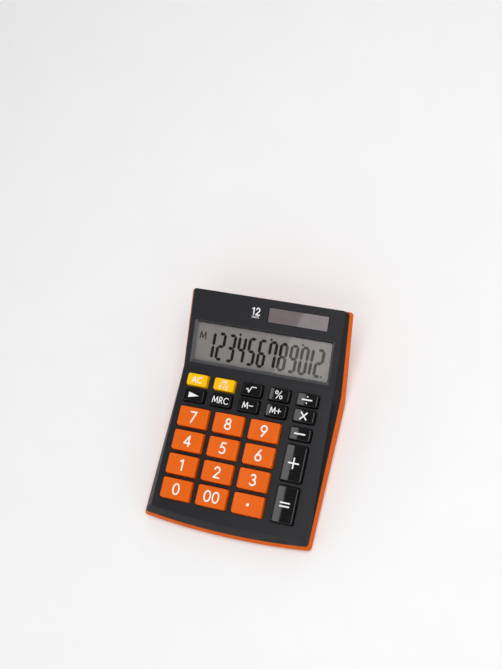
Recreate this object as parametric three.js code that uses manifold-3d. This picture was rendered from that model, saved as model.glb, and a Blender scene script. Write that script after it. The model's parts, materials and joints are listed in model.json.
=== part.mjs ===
// Desk calculator: a case of two shells bent below the display, 25 sprung keys, a segment display,
// a solar cell with a backup button cell, and the board, screws and feet that hold it together.
// Millimetres. X points right, Y away from the user and Z up; the origin is on the desk, under the
// middle of the body.
import * as THREE from 'three';
import { mergeVertices } from 'three/addons/utils/BufferGeometryUtils.js';
import Module from 'manifold-3d';

const wasm = await Module();
wasm.setup();
const radians = THREE.MathUtils.degToRad;

// ---- Driving sizes: case -----------------------------------------------------------------------
const bodyWidth = 143;
const bodyLength = 192;
const displayDeckLength = 65; // from the bend to the rear edge, along the deck
const keyboardSlope = radians(7.2);
const displayTilt = radians(17); // extra slope of the display deck
const flankFlare = 6.4; // how far the lower shell reaches out past the deck at the front and bend
const flankFlareRear = 4.6; // and on the sides at the rear edge
const seamFlare = 4.2; // how far the upper shell reaches out at the seam
const seamFlareRear = 2.2;
const rearShare = 0.7; // of those reaches at the sides, what the back of the case reaches out
const shellStep = 0.3; // the lower shell stands proud of the upper one at the seam
const frontBulge = 3.5; // rise of the arched front edge
const frontCornerRadius = 3;
const rearCornerRadius = 2.3;
const edgeBreak = 0.9; // broken edge around the deck
const skirtBreak = 1.6; // broken edge around the underside
const deckThickness = 2;
const wallThickness = 2;
const floorThickness = 2.2;
const bendBlend = 1.8; // half length of the rounded bend
const seamDropFront = 5; // seam below the deck at the front edge
const seamDropBend = 13.5;
const seamDropRear = 8;
const rearHeelOffset = 3.7; // the underside starts to rise this far in front of the bend
const heelBlend = 5;
const rearSkirtHeight = 14; // deck to underside at the rear edge
const footHeight = 1.5; // desk to underside

// ---- Driving sizes: keys -----------------------------------------------------------------------
const keyHeight = 4.3;
const keyTravel = 1.6;
const keyDraft = 0.5; // each side widens by this much from its top to the deck
const keyEdgeBreak = 0.5;
const keyCornerRadius = 1.3;
const keyFlange = 0.5;
const keyFlangeThickness = 1;
const keyStemHeight = 0.5;
const keyStemWidth = 6;
const keyStemDepth = 4;
const keyHoleClearance = 0.35;
const keyMarginLeft = 7.6;
const keyMarginRight = 10.6;
const keyMarginBend = 7;
const keyMarginFront = 9.4;
const smallKeyDepth = 9.8;
const smallColumnGap = 6.5;
const smallRowGap = 3.4;
const blockGap = 5; // between the function rows and the digits
const digitColumnGap = 5.8;
const digitRowGap = 3.85;
const operatorGap = 8.4; // between the digits and the operator column
const operatorRowGap = 4.65;

// ---- Driving sizes: display and power ----------------------------------------------------------
const displayMarginSide = 5;
const displayMarginBend = 3;
const displayOpeningDepth = 36;
const displayBevel = 2;
const displayCornerRadius = 1;
const displayWindowThickness = 1.2;
const displayWindowLap = 0.9;
const glassThickness = 2;
const glassInset = 1; // the glass is this much smaller than its window on each side
const holderThickness = 1.2;
const holderLedge = 6; // free strip of glass for the connector
const connectorWidth = 50;
const ribbonThickness = 0.3;
const ribbonLap = 3; // how far a ribbon lies on the board
const solarLeadWidth = 3;
const solarLeadShift = 12; // from the middle of the solar cell
const solarWindowWidth = 50;
const solarWindowDepth = 11.9;
const solarWindowThickness = 1;
const solarWindowLedge = 1.4;
const solarMarginRight = 12.6;
const solarMarginDisplay = 7;
const solarCorner = 0.5;
const solarCellThickness = 1.3;
const cellDiameter = 11.6;
const cellThickness = 5.4;
const bayX = -22;
const bayY = 6;
const bayWall = 1.2;
const bayContactRoom = 1; // room for a contact beside and above the cell
const contactThickness = 0.4;
const contactHalf = 3.5;
const cellLeadWidth = 3;
const cellLeadThickness = 0.8;
const doorWidth = 24;
const doorLength = 27;
const doorPlate = 1; // thickness of the door's wide half, which the rails hold
const doorNeck = 1.1; // thickness of the narrow half that fills the slot between the rails
const railLip = 0.8;
const railReach = 1.6;
const gripRibs = 3;
const gripPitch = 1.6;
const gripDepth = 0.4;
const gripHalf = 5;
const gripInset = 6; // from the door's rear edge to the first groove

// ---- Driving sizes: inside ---------------------------------------------------------------------
const gap = 0.3; // between pieces that touch
const padHeight = 0.4;
const padRadius = 3.2;
const matThickness = 0.7;
const boardThickness = 1.2;
const boardMarginSide = 10;
const boardMarginFront = 3.5;
const boardMarginBend = 0.5;
const boardScrewX = 30;
const boardScrewInset = 2.4;
const boardScrewHead = 1;
const boardScrewRadius = 0.8;
const boardScrewLength = 5;
const frontSpare = 0.2; // room under the front board screws
const caseScrewHead = 1.6;
const caseScrewHeadRadius = 2.3;
const caseScrewRadius = 1;
const caseScrewLength = 10;
const caseScrewBite = 4; // least length of shank above the seam
const screwSeat = 3; // underside to the screw head's seat
const frontBossInset = 5.2;
const bendBossInset = 4.6;
const rearBossInset = 5.9;
const bendBossSetback = 1.5; // in front of the bend
const rearBossSetback = 4.4; // in front of the rear edge
const bossRadius = 2.3;
const boardBossRadius = 1.9;
const blobRadius = 6;
const blobHeight = 1.6;
const blobX = 12;
const footRadius = 4.5;
const footRecess = 0.5;
const footBreak = 0.5;
const footInsetFrontX = 18;
const footInsetRearX = 9;
const footInsetFrontY = 9;
const footHeelClearance = 1.5;

// ---- Derived layout ----------------------------------------------------------------------------
const deckHalf = bodyWidth / 2 - flankFlare;
const backReach = flankFlareRear * rearShare;
const displaySlope = keyboardSlope + displayTilt;
const displayRun = displayDeckLength * Math.cos(displaySlope);
const keyboardRun = bodyLength - flankFlare - backReach - frontBulge - displayRun;
const keyboardDeckLength = keyboardRun / Math.cos(keyboardSlope);
const deckFrontY = -bodyLength / 2 + flankFlare + frontBulge; // at the front corners
const deckRearY = bodyLength / 2 - backReach;
const bendY = deckFrontY + keyboardRun;

// Heights under the keyboard deck, measured down its normal.
const flangeTop = -deckThickness - gap;
const flangeBottom = flangeTop - keyFlangeThickness;
const stemBottom = flangeBottom - keyStemHeight;
const padTop = stemBottom - keyTravel - gap;
const matTop = padTop - padHeight;
const matBottom = matTop - matThickness;
const boardTop = matBottom - gap;
const boardBottom = boardTop - boardThickness;
const boardScrewBottom = boardBottom - gap - boardScrewHead;

const deckFrontZ = footHeight + floorThickness + frontSpare - boardScrewBottom;
const bendZ = deckFrontZ + keyboardRun * Math.tan(keyboardSlope);
const deckRearZ = bendZ + displayRun * Math.tan(displaySlope);
const heelY = bendY - rearHeelOffset;
const skirtRearZ = deckRearZ - rearSkirtHeight;

// A height that follows one slope, then another, with a rounded stretch between them.
function bentHeight(y, bend, height, slopeBefore, slopeAfter, blend) {
  const along = y - bend;
  if (along <= -blend) return height + slopeBefore * along;
  if (along >= blend) return height + slopeAfter * along;
  const turned = ((slopeAfter - slopeBefore) * (along + blend) ** 2) / (4 * blend);
  return height + slopeBefore * along + turned;
}

function deckZ(y) {
  return bentHeight(y, bendY, bendZ, Math.tan(keyboardSlope), Math.tan(displaySlope), bendBlend);
}

function seamZ(y) {
  const height = bendZ - seamDropBend;
  const before = (height - (deckFrontZ - seamDropFront)) / keyboardRun;
  const after = (deckRearZ - seamDropRear - height) / displayRun;
  return bentHeight(y, bendY, height, before, after, bendBlend);
}

function undersideZ(y) {
  const rise = (skirtRearZ - footHeight) / (deckRearY - heelY);
  return bentHeight(y, heelY, footHeight, 0, rise, heelBlend);
}

// A reach past the deck's edge that narrows from the bend to the rear edge.
function narrowing(y, sideReach, rearReach) {
  const share = Math.min(Math.max((y - bendY) / (deckRearY - bendY), 0), 1);
  return sideReach + (rearReach - sideReach) * share;
}

function noReach() {
  return 0;
}

function seamReach(y) {
  return narrowing(y, seamFlare, seamFlareRear);
}

function flankReach(y) {
  return narrowing(y, flankFlare, flankFlareRear);
}

const keyboardFrame = new THREE.Matrix4()
  .makeTranslation(0, bendY, bendZ)
  .multiply(new THREE.Matrix4().makeRotationX(keyboardSlope));
const displayFrame = new THREE.Matrix4()
  .makeTranslation(0, bendY, bendZ)
  .multiply(new THREE.Matrix4().makeRotationX(displaySlope));
const worldFrame = new THREE.Matrix4();

// ---- Solids ------------------------------------------------------------------------------------
function solid(geometry, frame = worldFrame) {
  const bare = geometry.clone().applyMatrix4(frame);
  bare.deleteAttribute('normal');
  bare.deleteAttribute('uv');
  const merged = mergeVertices(bare, 1e-4);
  const mesh = new wasm.Mesh({
    numProp: 3,
    vertProperties: new Float32Array(merged.attributes.position.array),
    triVerts: new Uint32Array(merged.index.array),
  });
  return new wasm.Manifold(mesh);
}

function geometryOf(body) {
  const mesh = body.getMesh();
  const geometry = new THREE.BufferGeometry();
  geometry.setAttribute('position', new THREE.BufferAttribute(mesh.vertProperties, 3));
  geometry.setIndex(new THREE.BufferAttribute(mesh.triVerts, 1));
  return geometry;
}

// Joins rings of equally many points, lowest first, into a closed body.
function loft(rings, capOf) {
  const count = rings[0].length;
  const positions = rings.flat(2);
  const indices = [];
  for (const [a, b, c] of capOf(count)) {
    const top = (rings.length - 1) * count;
    indices.push(a, c, b);
    indices.push(top + a, top + b, top + c);
  }
  for (let ring = 0; ring < rings.length - 1; ring += 1) {
    for (let i = 0; i < count; i += 1) {
      const here = ring * count + i;
      const next = ring * count + ((i + 1) % count);
      indices.push(here, next, next + count);
      indices.push(here, next + count, here + count);
    }
  }
  const geometry = new THREE.BufferGeometry();
  geometry.setAttribute('position', new THREE.Float32BufferAttribute(positions, 3));
  geometry.setIndex(indices);
  return geometry;
}

// A cap for a convex ring.
function fanCap(count) {
  return Array.from({ length: count - 2 }, (_, i) => [0, i + 1, i + 2]);
}

// A cap for a mirrored ring, with every triangle between points at the same Y on both sides, so
// that a surface whose height depends only on Y is met exactly.
function ladderCap(count) {
  const mirrored = (index) => (count - index) % count;
  const triangles = [];
  for (let i = 0; i < count / 2; i += 1) {
    if (mirrored(i + 1) !== i + 1) triangles.push([i, i + 1, mirrored(i + 1)]);
    if (mirrored(i) !== i) triangles.push([i, mirrored(i + 1), mirrored(i)]);
  }
  return triangles;
}

function roundedRing(width, depth, radius, z, corner = 2) {
  const ring = [];
  const centres = [[1, -1], [1, 1], [-1, 1], [-1, -1]];
  centres.forEach(([sideX, sideY], index) => {
    for (let i = 0; i <= corner; i += 1) {
      const angle = (Math.PI / 2) * (index - 1 + i / corner);
      const x = sideX * (width / 2 - radius) + radius * Math.cos(angle);
      const y = sideY * (depth / 2 - radius) + radius * Math.sin(angle);
      ring.push([x, y, z]);
    }
  });
  return ring;
}

function box(x0, x1, y0, y1, z0, z1) {
  const geometry = new THREE.BoxGeometry(x1 - x0, y1 - y0, z1 - z0);
  return geometry.translate((x0 + x1) / 2, (y0 + y1) / 2, (z0 + z1) / 2);
}

function cylinder(radius, x, y, z0, z1, sides = 16) {
  const geometry = new THREE.CylinderGeometry(radius, radius, z1 - z0, sides);
  return geometry.rotateX(Math.PI / 2).translate(x, y, (z0 + z1) / 2);
}

// A thin strip of the given width along X that follows a path in the YZ plane.
function ribbon(path, thickness, width, x) {
  const points = path.map(([y, z]) => new THREE.Vector2(y, z));
  const side = (sign) => points.map((point, i) => {
    const before = points[Math.max(i - 1, 0)];
    const after = points[Math.min(i + 1, points.length - 1)];
    const along = after.clone().sub(before).normalize();
    return new THREE.Vector2(-along.y, along.x).multiplyScalar((sign * thickness) / 2).add(point);
  });
  const outline = new THREE.Shape([...side(-1), ...side(1).reverse()]);
  const geometry = new THREE.ExtrudeGeometry(outline, { depth: width, bevelEnabled: false });
  const axes = new THREE.Matrix4().makeBasis(
    new THREE.Vector3(0, 1, 0),
    new THREE.Vector3(0, 0, 1),
    new THREE.Vector3(1, 0, 0),
  );
  return geometry.applyMatrix4(axes).translate(x - width / 2, 0, 0);
}

// ---- Case outline ------------------------------------------------------------------------------
const frontRadius = (deckHalf ** 2 + frontBulge ** 2) / (2 * frontBulge);
const frontCentreY = deckFrontY - frontBulge + frontRadius;
const frontTangent = Math.asin((deckHalf - frontCornerRadius) / (frontRadius - frontCornerRadius));
const frontCornerX = deckHalf - frontCornerRadius;
const frontCornerY = frontCentreY - (frontRadius - frontCornerRadius) * Math.cos(frontTangent);

function bendStations(centre, blend) {
  return [-1, -0.5, 0, 0.5, 1].map((share) => centre + share * blend);
}

const sideStations = [...bendStations(bendY, bendBlend), ...bendStations(heelY, heelBlend)]
  .sort((a, b) => a - b);

// Right half of the deck's outline moved outwards, from the front middle to the rear one. offsetAt
// gives how far a point of the outline moves, from its Y. A corner that moves out keeps its radius.
function halfOutline(offsetAt) {
  const frontSteps = 8;
  const cornerSteps = 6;
  const points = [];
  for (let i = 0; i <= frontSteps; i += 1) {
    const angle = (frontTangent * i) / frontSteps;
    const reach = frontRadius + offsetAt(frontCentreY - frontRadius * Math.cos(angle));
    points.push([reach * Math.sin(angle), frontCentreY - reach * Math.cos(angle)]);
  }
  const corner = (x, y, radius, from, to, first, backShare) => {
    const middle = (from + to) / 2;
    const spread = 1 / Math.cos(middle - from);
    for (let i = first; i <= cornerSteps; i += 1) {
      const angle = from + ((to - from) * i) / cornerSteps;
      const offset = offsetAt(y - radius * Math.cos(angle));
      const shift = Math.max(offset, 0) * spread;
      const reach = radius + Math.min(offset, 0);
      points.push([
        x + shift * Math.sin(middle) + reach * Math.sin(angle),
        y - shift * backShare * Math.cos(middle) - reach * Math.cos(angle),
      ]);
    }
  };
  corner(frontCornerX, frontCornerY, frontCornerRadius, frontTangent, Math.PI / 2, 1, 1);
  for (const y of sideStations) points.push([deckHalf + offsetAt(y), y]);
  const rearCornerX = deckHalf - rearCornerRadius;
  const rearCornerY = deckRearY - rearCornerRadius;
  corner(rearCornerX, rearCornerY, rearCornerRadius, Math.PI / 2, Math.PI, 0, rearShare);
  const back = offsetAt(deckRearY);
  points.push([0, deckRearY + (back > 0 ? back * rearShare : back)]);
  return points;
}

// The case's whole outline: a reach past the deck less an inset, at a height over a surface.
function caseRing(reachAt, inset, heightAt, lift) {
  const outline = halfOutline((y) => reachAt(y) - inset);
  const right = outline.map(([x, y]) => [x, y, heightAt(y) + lift]);
  const left = right.slice(1, -1).reverse().map(([x, y, z]) => [-x, y, z]);
  return [...right, ...left];
}

const upperEnvelope = solid(loft([
  caseRing(seamReach, 0, seamZ, gap / 2),
  caseRing(noReach, 0, deckZ, -edgeBreak),
  caseRing(noReach, edgeBreak, deckZ, 0),
], ladderCap));
const upperHollow = solid(loft([
  caseRing(seamReach, wallThickness, seamZ, -gap),
  caseRing(noReach, wallThickness, deckZ, -deckThickness / Math.cos(displaySlope)),
], ladderCap));
const lowerEnvelope = solid(loft([
  caseRing(flankReach, skirtBreak, undersideZ, 0),
  caseRing(flankReach, 0, undersideZ, skirtBreak),
  caseRing(seamReach, -shellStep, seamZ, -gap / 2),
], ladderCap));
const lowerHollow = solid(loft([
  caseRing(flankReach, skirtBreak + wallThickness, undersideZ, floorThickness),
  caseRing(seamReach, wallThickness - shellStep, seamZ, gap),
], ladderCap));

// ---- Screw places ------------------------------------------------------------------------------
function mirroredBoss(place, inset, y) {
  return [
    { name: `${place}_left`, x: inset - deckHalf, y },
    { name: `${place}_right`, x: deckHalf - inset, y },
  ];
}

const caseBosses = [
  ...mirroredBoss('front', frontBossInset, deckFrontY + frontBossInset),
  ...mirroredBoss('bend', bendBossInset, bendY - bendBossSetback),
  ...mirroredBoss('rear', rearBossInset, deckRearY - rearBossSetback),
];

// A turned solid from its profile of radius and height, standing on Z 0.
function turned(profile, segments) {
  const points = profile.map(([radius, height]) => new THREE.Vector2(radius, height));
  return new THREE.LatheGeometry(points, segments).rotateX(Math.PI / 2);
}

// A cross-head screw, head down, with its shank's point up.
function screwGeometry(headRadius, headHeight, shankRadius, shankLength) {
  const screwSegments = 12;
  const body = turned([
    [0, 0],
    [headRadius * 0.8, 0],
    [headRadius, headHeight * 0.4],
    [headRadius, headHeight],
    [shankRadius, headHeight],
    [shankRadius, headHeight + shankLength - shankRadius],
    [0, headHeight + shankLength],
  ], screwSegments);
  const slot = headRadius * 0.6;
  const half = headRadius * 0.12;
  const depth = headHeight * 0.55;
  const first = solid(box(-slot, slot, -half, half, -headHeight, depth));
  const second = solid(box(-half, half, -slot, slot, -headHeight, depth));
  return geometryOf(solid(body).subtract(first.add(second)));
}

// Heights of one case screw: where its head sits, and how long its shank can be under the deck.
function screwFit(boss) {
  const seat = undersideZ(boss.y) + screwSeat;
  const roof = deckZ(boss.y - bossRadius) - deckThickness;
  const longEnough = Math.max(caseScrewLength, seamZ(boss.y) + caseScrewBite - seat);
  return { seat, shank: Math.min(longEnough, roof - seat - gap) };
}

// ---- Keys --------------------------------------------------------------------------------------
const smallRows = [
  ['ac', 'on_clear_entry', 'square_root', 'percent', 'divide'],
  ['backspace', 'memory_recall', 'memory_minus', 'memory_plus', 'multiply'],
];
const digitRows = [['7', '8', '9'], ['4', '5', '6'], ['1', '2', '3'], ['0', '00', 'point']];
const yellowKeys = ['ac', 'on_clear_entry'];

const fieldLeft = -deckHalf + keyMarginLeft;
const fieldRight = deckHalf - keyMarginRight;
const fieldTop = -keyMarginBend;
const fieldBottom = -keyboardDeckLength + keyMarginFront;
const smallColumns = smallRows[0].length;
const smallKeyWidth = (fieldRight - fieldLeft - (smallColumns - 1) * smallColumnGap) / smallColumns;
const operatorX = fieldRight - smallKeyWidth / 2;
const digitRight = fieldRight - smallKeyWidth - operatorGap;
const digitColumns = digitRows[0].length;
const digitKeyWidth = (digitRight - fieldLeft - (digitColumns - 1) * digitColumnGap) / digitColumns;
const smallRowsDepth = smallRows.length * smallKeyDepth + (smallRows.length - 1) * smallRowGap;
const digitTop = fieldTop - smallRowsDepth - blockGap;
const digitRowsDepth = digitTop - fieldBottom;
const digitKeyDepth = (digitRowsDepth - (digitRows.length - 1) * digitRowGap) / digitRows.length;
const tallKeyDepth = (digitRowsDepth - smallKeyDepth - 2 * operatorRowGap) / 2;

function smallKeyPlaces() {
  return smallRows.flatMap((row, rowIndex) => row.map((label, column) => ({
    label,
    x: fieldLeft + smallKeyWidth / 2 + column * (smallKeyWidth + smallColumnGap),
    y: fieldTop - smallKeyDepth / 2 - rowIndex * (smallKeyDepth + smallRowGap),
    width: smallKeyWidth,
    depth: smallKeyDepth,
    paint: yellowKeys.includes(label) ? 'yellow' : 'black',
  })));
}

function digitKeyPlaces() {
  return digitRows.flatMap((row, rowIndex) => row.map((label, column) => ({
    label,
    x: fieldLeft + digitKeyWidth / 2 + column * (digitKeyWidth + digitColumnGap),
    y: digitTop - digitKeyDepth / 2 - rowIndex * (digitKeyDepth + digitRowGap),
    width: digitKeyWidth,
    depth: digitKeyDepth,
    paint: 'orange',
  })));
}

function operatorKeyPlaces() {
  const depths = { minus: smallKeyDepth, plus: tallKeyDepth, equals: tallKeyDepth };
  let top = digitTop;
  return Object.entries(depths).map(([label, depth]) => {
    const y = top - depth / 2;
    top -= depth + operatorRowGap;
    return { label, x: operatorX, y, width: smallKeyWidth, depth, paint: 'black' };
  });
}

const keys = [...smallKeyPlaces(), ...digitKeyPlaces(), ...operatorKeyPlaces()];
const keyNeck = 2 * keyDraft;
const keyHole = keyNeck + 2 * keyHoleClearance;
const keyFoot = keyHole + 2 * keyFlange;

function keyGeometry({ width, depth }) {
  const radius = keyCornerRadius;
  return loft([
    roundedRing(keyStemWidth, keyStemDepth, radius, stemBottom),
    roundedRing(keyStemWidth, keyStemDepth, radius, flangeBottom),
    roundedRing(width + keyFoot, depth + keyFoot, radius, flangeBottom),
    roundedRing(width + keyFoot, depth + keyFoot, radius, flangeTop),
    roundedRing(width + keyNeck, depth + keyNeck, radius, flangeTop),
    roundedRing(width + keyNeck, depth + keyNeck, radius, 0),
    roundedRing(width, depth, radius, keyHeight - keyEdgeBreak),
    roundedRing(width - 2 * keyEdgeBreak, depth - 2 * keyEdgeBreak, radius, keyHeight),
  ], fanCap);
}

function keyHoleCut({ x, y, width, depth }) {
  const reach = 1.5 * deckThickness;
  const ring = (z) => roundedRing(width + keyHole, depth + keyHole, keyCornerRadius, z);
  return solid(loft([ring(-reach), ring(reach)], fanCap).translate(x, y, 0), keyboardFrame);
}

// ---- Display and solar window ------------------------------------------------------------------
const displayWidth = 2 * (deckHalf - displayMarginSide);
const displayY = displayMarginBend + displayOpeningDepth / 2;
const displayTopY = displayMarginBend + displayOpeningDepth;
const windowTop = -deckThickness - gap;
const windowBottom = windowTop - displayWindowThickness;
const windowMargin = 2 * (2 * displayWindowLap - displayBevel);
const windowWidth = displayWidth + windowMargin;
const windowDepth = displayOpeningDepth + windowMargin;
const glassTop = windowBottom - gap;
const glassBottom = glassTop - glassThickness;
const glassWidth = windowWidth - 2 * glassInset;
const glassDepth = windowDepth - 2 * glassInset;
const glassFront = displayY - glassDepth / 2;
const holderTop = glassBottom - gap;
const holderBottom = holderTop - holderThickness;
const solarX = deckHalf - solarMarginRight - solarWindowWidth / 2;
const solarY = displayTopY + solarMarginDisplay + solarWindowDepth / 2;
const solarCellTop = -deckThickness - gap;
const solarCellBottom = solarCellTop - solarCellThickness;

// The opening narrows with depth from the deck to its underside, and then runs straight.
function displayOpeningCut() {
  const ring = (z) => {
    const inset = (displayBevel * -Math.max(z, -deckThickness)) / deckThickness;
    const width = displayWidth - 2 * inset;
    return roundedRing(width, displayOpeningDepth - 2 * inset, displayCornerRadius, z);
  };
  const cut = loft([ring(-1.5 * deckThickness), ring(-deckThickness), ring(deckThickness / 2)], fanCap);
  return solid(cut.translate(0, displayY, 0), displayFrame);
}

// A recess for the solar window with a ledge round the hole to the cell.
function solarCut() {
  const width = solarWindowWidth + 2 * gap;
  const depth = solarWindowDepth + 2 * gap;
  const recess = solarWindowThickness + gap;
  const throughWidth = width - 2 * solarWindowLedge;
  const throughDepth = depth - 2 * solarWindowLedge;
  const cut = loft([
    roundedRing(throughWidth, throughDepth, solarCorner, -1.5 * deckThickness),
    roundedRing(throughWidth, throughDepth, solarCorner, -recess),
    roundedRing(width, depth, solarCorner + gap, -recess),
    roundedRing(width, depth, solarCorner + gap, deckThickness / 2),
  ], fanCap);
  return solid(cut.translate(solarX, solarY, 0), displayFrame);
}

// ---- Board and its screws ----------------------------------------------------------------------
const boardHalf = deckHalf - boardMarginSide;
const boardFrontY = -keyboardDeckLength + boardMarginFront;
const boardRearY = -boardMarginBend;
const boardScrews = [boardFrontY, boardRearY].flatMap((edge, index) => [-1, 1].map((side) => ({
  name: `${index ? 'rear' : 'front'}_${side < 0 ? 'left' : 'right'}`,
  x: side * boardScrewX,
  y: edge + (index ? -boardScrewInset : boardScrewInset),
})));
const boardBossBottom = boardTop + gap;

function upperCase() {
  let posts = null;
  for (const boss of caseBosses) {
    const top = deckZ(boss.y + bossRadius);
    const post = solid(cylinder(bossRadius, boss.x, boss.y, undersideZ(boss.y), top));
    posts = posts ? posts.add(post) : post;
  }
  for (const screw of boardScrews) {
    const post = cylinder(boardBossRadius, screw.x, screw.y, boardBossBottom, -deckThickness / 2, 12);
    posts = posts.add(solid(post, keyboardFrame));
  }
  let body = upperEnvelope.subtract(upperHollow).add(posts.intersect(upperEnvelope));
  for (const boss of caseBosses) {
    const { seat, shank } = screwFit(boss);
    const top = seat + shank + gap;
    const bore = cylinder(caseScrewRadius + gap, boss.x, boss.y, seat - screwSeat, top, 12);
    body = body.subtract(solid(bore));
  }
  for (const screw of boardScrews) {
    const top = boardScrewBottom + boardScrewHead + boardScrewLength + gap;
    const bottom = boardBossBottom - gap;
    const bore = cylinder(boardScrewRadius + gap, screw.x, screw.y, bottom, top, 10);
    body = body.subtract(solid(bore, keyboardFrame));
  }
  for (const key of keys) body = body.subtract(keyHoleCut(key));
  return body.subtract(displayOpeningCut()).subtract(solarCut());
}

// ---- Battery bay and its door ------------------------------------------------------------------
const doorNeckTop = footHeight + doorNeck;
const doorTop = doorNeckTop + doorPlate;
const channelTop = doorTop + gap;
const trayTop = channelTop + bayWall;
const bayHalf = cellDiameter / 2 + bayContactRoom;
const cellBottom = channelTop + gap;
const cellTop = cellBottom + cellThickness;
const bayTop = cellTop + bayContactRoom;
const doorRearY = bayY + doorLength / 2;
const doorFrontY = bayY - doorLength / 2;
const doorHalf = doorWidth / 2;

// A box that is centred on the battery bay in X and Y.
function bayBox(halfX, halfY, bottom, top) {
  return solid(box(bayX - halfX, bayX + halfX, bayY - halfY, bayY + halfY, bottom, top));
}

// A box along the door's channel, from in front of the door to behind the bend.
function channelBox(half, front, rear, bottom, top) {
  return solid(box(bayX - half, bayX + half, front, rear, bottom, top));
}

function lowerCase() {
  const trayHalf = doorHalf + gap + bayWall + railReach;
  const tray = channelBox(trayHalf, doorFrontY - 2 * bayWall, bendY, 0, trayTop);
  const bayOuter = bayHalf + bayWall;
  let inside = tray.add(bayBox(bayOuter, bayOuter, 0, bayTop + bayWall));
  for (const boss of caseBosses) {
    const post = cylinder(caseScrewHeadRadius + gap + bayWall, boss.x, boss.y, 0, deckZ(boss.y));
    inside = inside.add(solid(post));
  }
  let body = lowerEnvelope.subtract(lowerHollow).add(inside.intersect(lowerEnvelope));

  const beyond = bendY + heelBlend;
  const wide = doorHalf + gap;
  const channelFront = doorFrontY - gap;
  body = body.subtract(channelBox(wide, channelFront, beyond, footHeight + railLip, channelTop));
  body = body.subtract(channelBox(wide - railReach, channelFront, beyond, 0, channelTop));
  body = body.subtract(bayBox(bayHalf, bayHalf, footHeight, bayTop));
  const leadHalf = cellLeadThickness / 2 + gap;
  body = body.subtract(bayBox(cellLeadWidth / 2 + gap, leadHalf, footHeight, bayTop + 2 * bayWall));

  for (const boss of caseBosses) {
    const { seat } = screwFit(boss);
    const top = deckZ(boss.y);
    body = body.subtract(solid(cylinder(caseScrewHeadRadius + gap, boss.x, boss.y, 0, seat)));
    body = body.subtract(solid(cylinder(caseScrewRadius + gap, boss.x, boss.y, 0, top, 12)));
  }
  for (const foot of feet) {
    const top = footHeight + footRecess;
    body = body.subtract(solid(cylinder(footRadius + gap, foot.x, foot.y, 0, top, 20)));
  }
  return body;
}

// The door's narrow half fills the slot between the rails, and its wide half slides over them.
function doorGeometry() {
  const neckHalf = doorHalf - railReach;
  const neck = solid(box(-neckHalf, neckHalf, doorFrontY, doorRearY, footHeight, doorTop));
  const plate = solid(box(-doorHalf, doorHalf, doorFrontY, doorRearY, doorNeckTop, doorTop));
  let body = neck.add(plate);
  for (let rib = 0; rib < gripRibs; rib += 1) {
    const y = doorRearY - gripInset + rib * gripPitch;
    const groove = box(-gripHalf, gripHalf, y, y + gripPitch / 2, 0, footHeight + gripDepth);
    body = body.subtract(solid(groove));
  }
  return geometryOf(body);
}

function footPair(place, insetX, y) {
  return [
    { name: `${place}_left`, x: insetX - deckHalf, y },
    { name: `${place}_right`, x: deckHalf - insetX, y },
  ];
}

const feet = [
  ...footPair('front', footInsetFrontX, deckFrontY + footInsetFrontY),
  ...footPair('rear', footInsetRearX, heelY - heelBlend - footHeelClearance - footRadius),
];

// ---- Assembly ----------------------------------------------------------------------------------
const paints = {
  charcoal: { color: 0x2b2b30, roughness: 0.45, metalness: 0 },
  orange: { color: 0xe0601c, roughness: 0.4, metalness: 0 },
  yellow: { color: 0xf5b400, roughness: 0.4, metalness: 0 },
  black: { color: 0x121212, roughness: 0.2, metalness: 0 },
  window: { color: 0x8f9092, roughness: 0.05, metalness: 0 },
  glass: { color: 0x77756f, roughness: 0.1, metalness: 0 },
  solar: { color: 0x3a2c30, roughness: 0.2, metalness: 0 },
  white: { color: 0xe8e6df, roughness: 0.5, metalness: 0 },
  silicone: { color: 0xb9bcc0, roughness: 0.7, metalness: 0 },
  board: { color: 0x1f6b3a, roughness: 0.5, metalness: 0 },
  epoxy: { color: 0x141414, roughness: 0.35, metalness: 0 },
  ribbon: { color: 0xd9a441, roughness: 0.5, metalness: 0 },
  steel: { color: 0xb8bcc2, roughness: 0.3, metalness: 1 },
  brass: { color: 0xc9a24a, roughness: 0.3, metalness: 1 },
  rubber: { color: 0x1b1b1b, roughness: 0.9, metalness: 0 },
};

const calculator = new THREE.Group();
const keyboard = new THREE.Group();
keyboard.position.set(0, bendY, bendZ);
keyboard.rotation.x = keyboardSlope;
const display = new THREE.Group();
display.position.set(0, bendY, bendZ);
display.rotation.x = displaySlope;
calculator.add(keyboard, display);

function place(group, name, geometry, paint, x = 0, y = 0, z = 0) {
  const mesh = new THREE.Mesh(geometry, new THREE.MeshStandardMaterial(paints[paint]));
  mesh.name = name;
  mesh.position.set(x, y, z);
  group.add(mesh);
}

place(calculator, 'upper_case', geometryOf(upperCase()), 'charcoal');
place(calculator, 'lower_case', geometryOf(lowerCase()), 'orange');

for (const key of keys) {
  place(keyboard, `key_${key.label}`, keyGeometry(key), key.paint, key.x, key.y);
}

function keyMat() {
  const front = boardFrontY + boardScrewInset + boardBossRadius + gap;
  const rear = boardRearY - boardScrewInset - boardBossRadius - gap;
  let body = solid(box(-boardHalf, boardHalf, front, rear, matBottom, matTop));
  for (const key of keys) {
    body = body.add(solid(cylinder(padRadius, key.x, key.y, matTop - matThickness / 2, padTop, 10)));
  }
  return body;
}
place(keyboard, 'key_mat', geometryOf(keyMat()), 'silicone');

function mainBoard() {
  let body = solid(box(-boardHalf, boardHalf, boardFrontY, boardRearY, boardBottom, boardTop));
  for (const screw of boardScrews) {
    const radius = boardScrewRadius + gap;
    body = body.subtract(solid(cylinder(radius, screw.x, screw.y, boardBottom - gap, boardTop + gap, 10)));
  }
  return body;
}
place(keyboard, 'main_board', geometryOf(mainBoard()), 'board');

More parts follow.
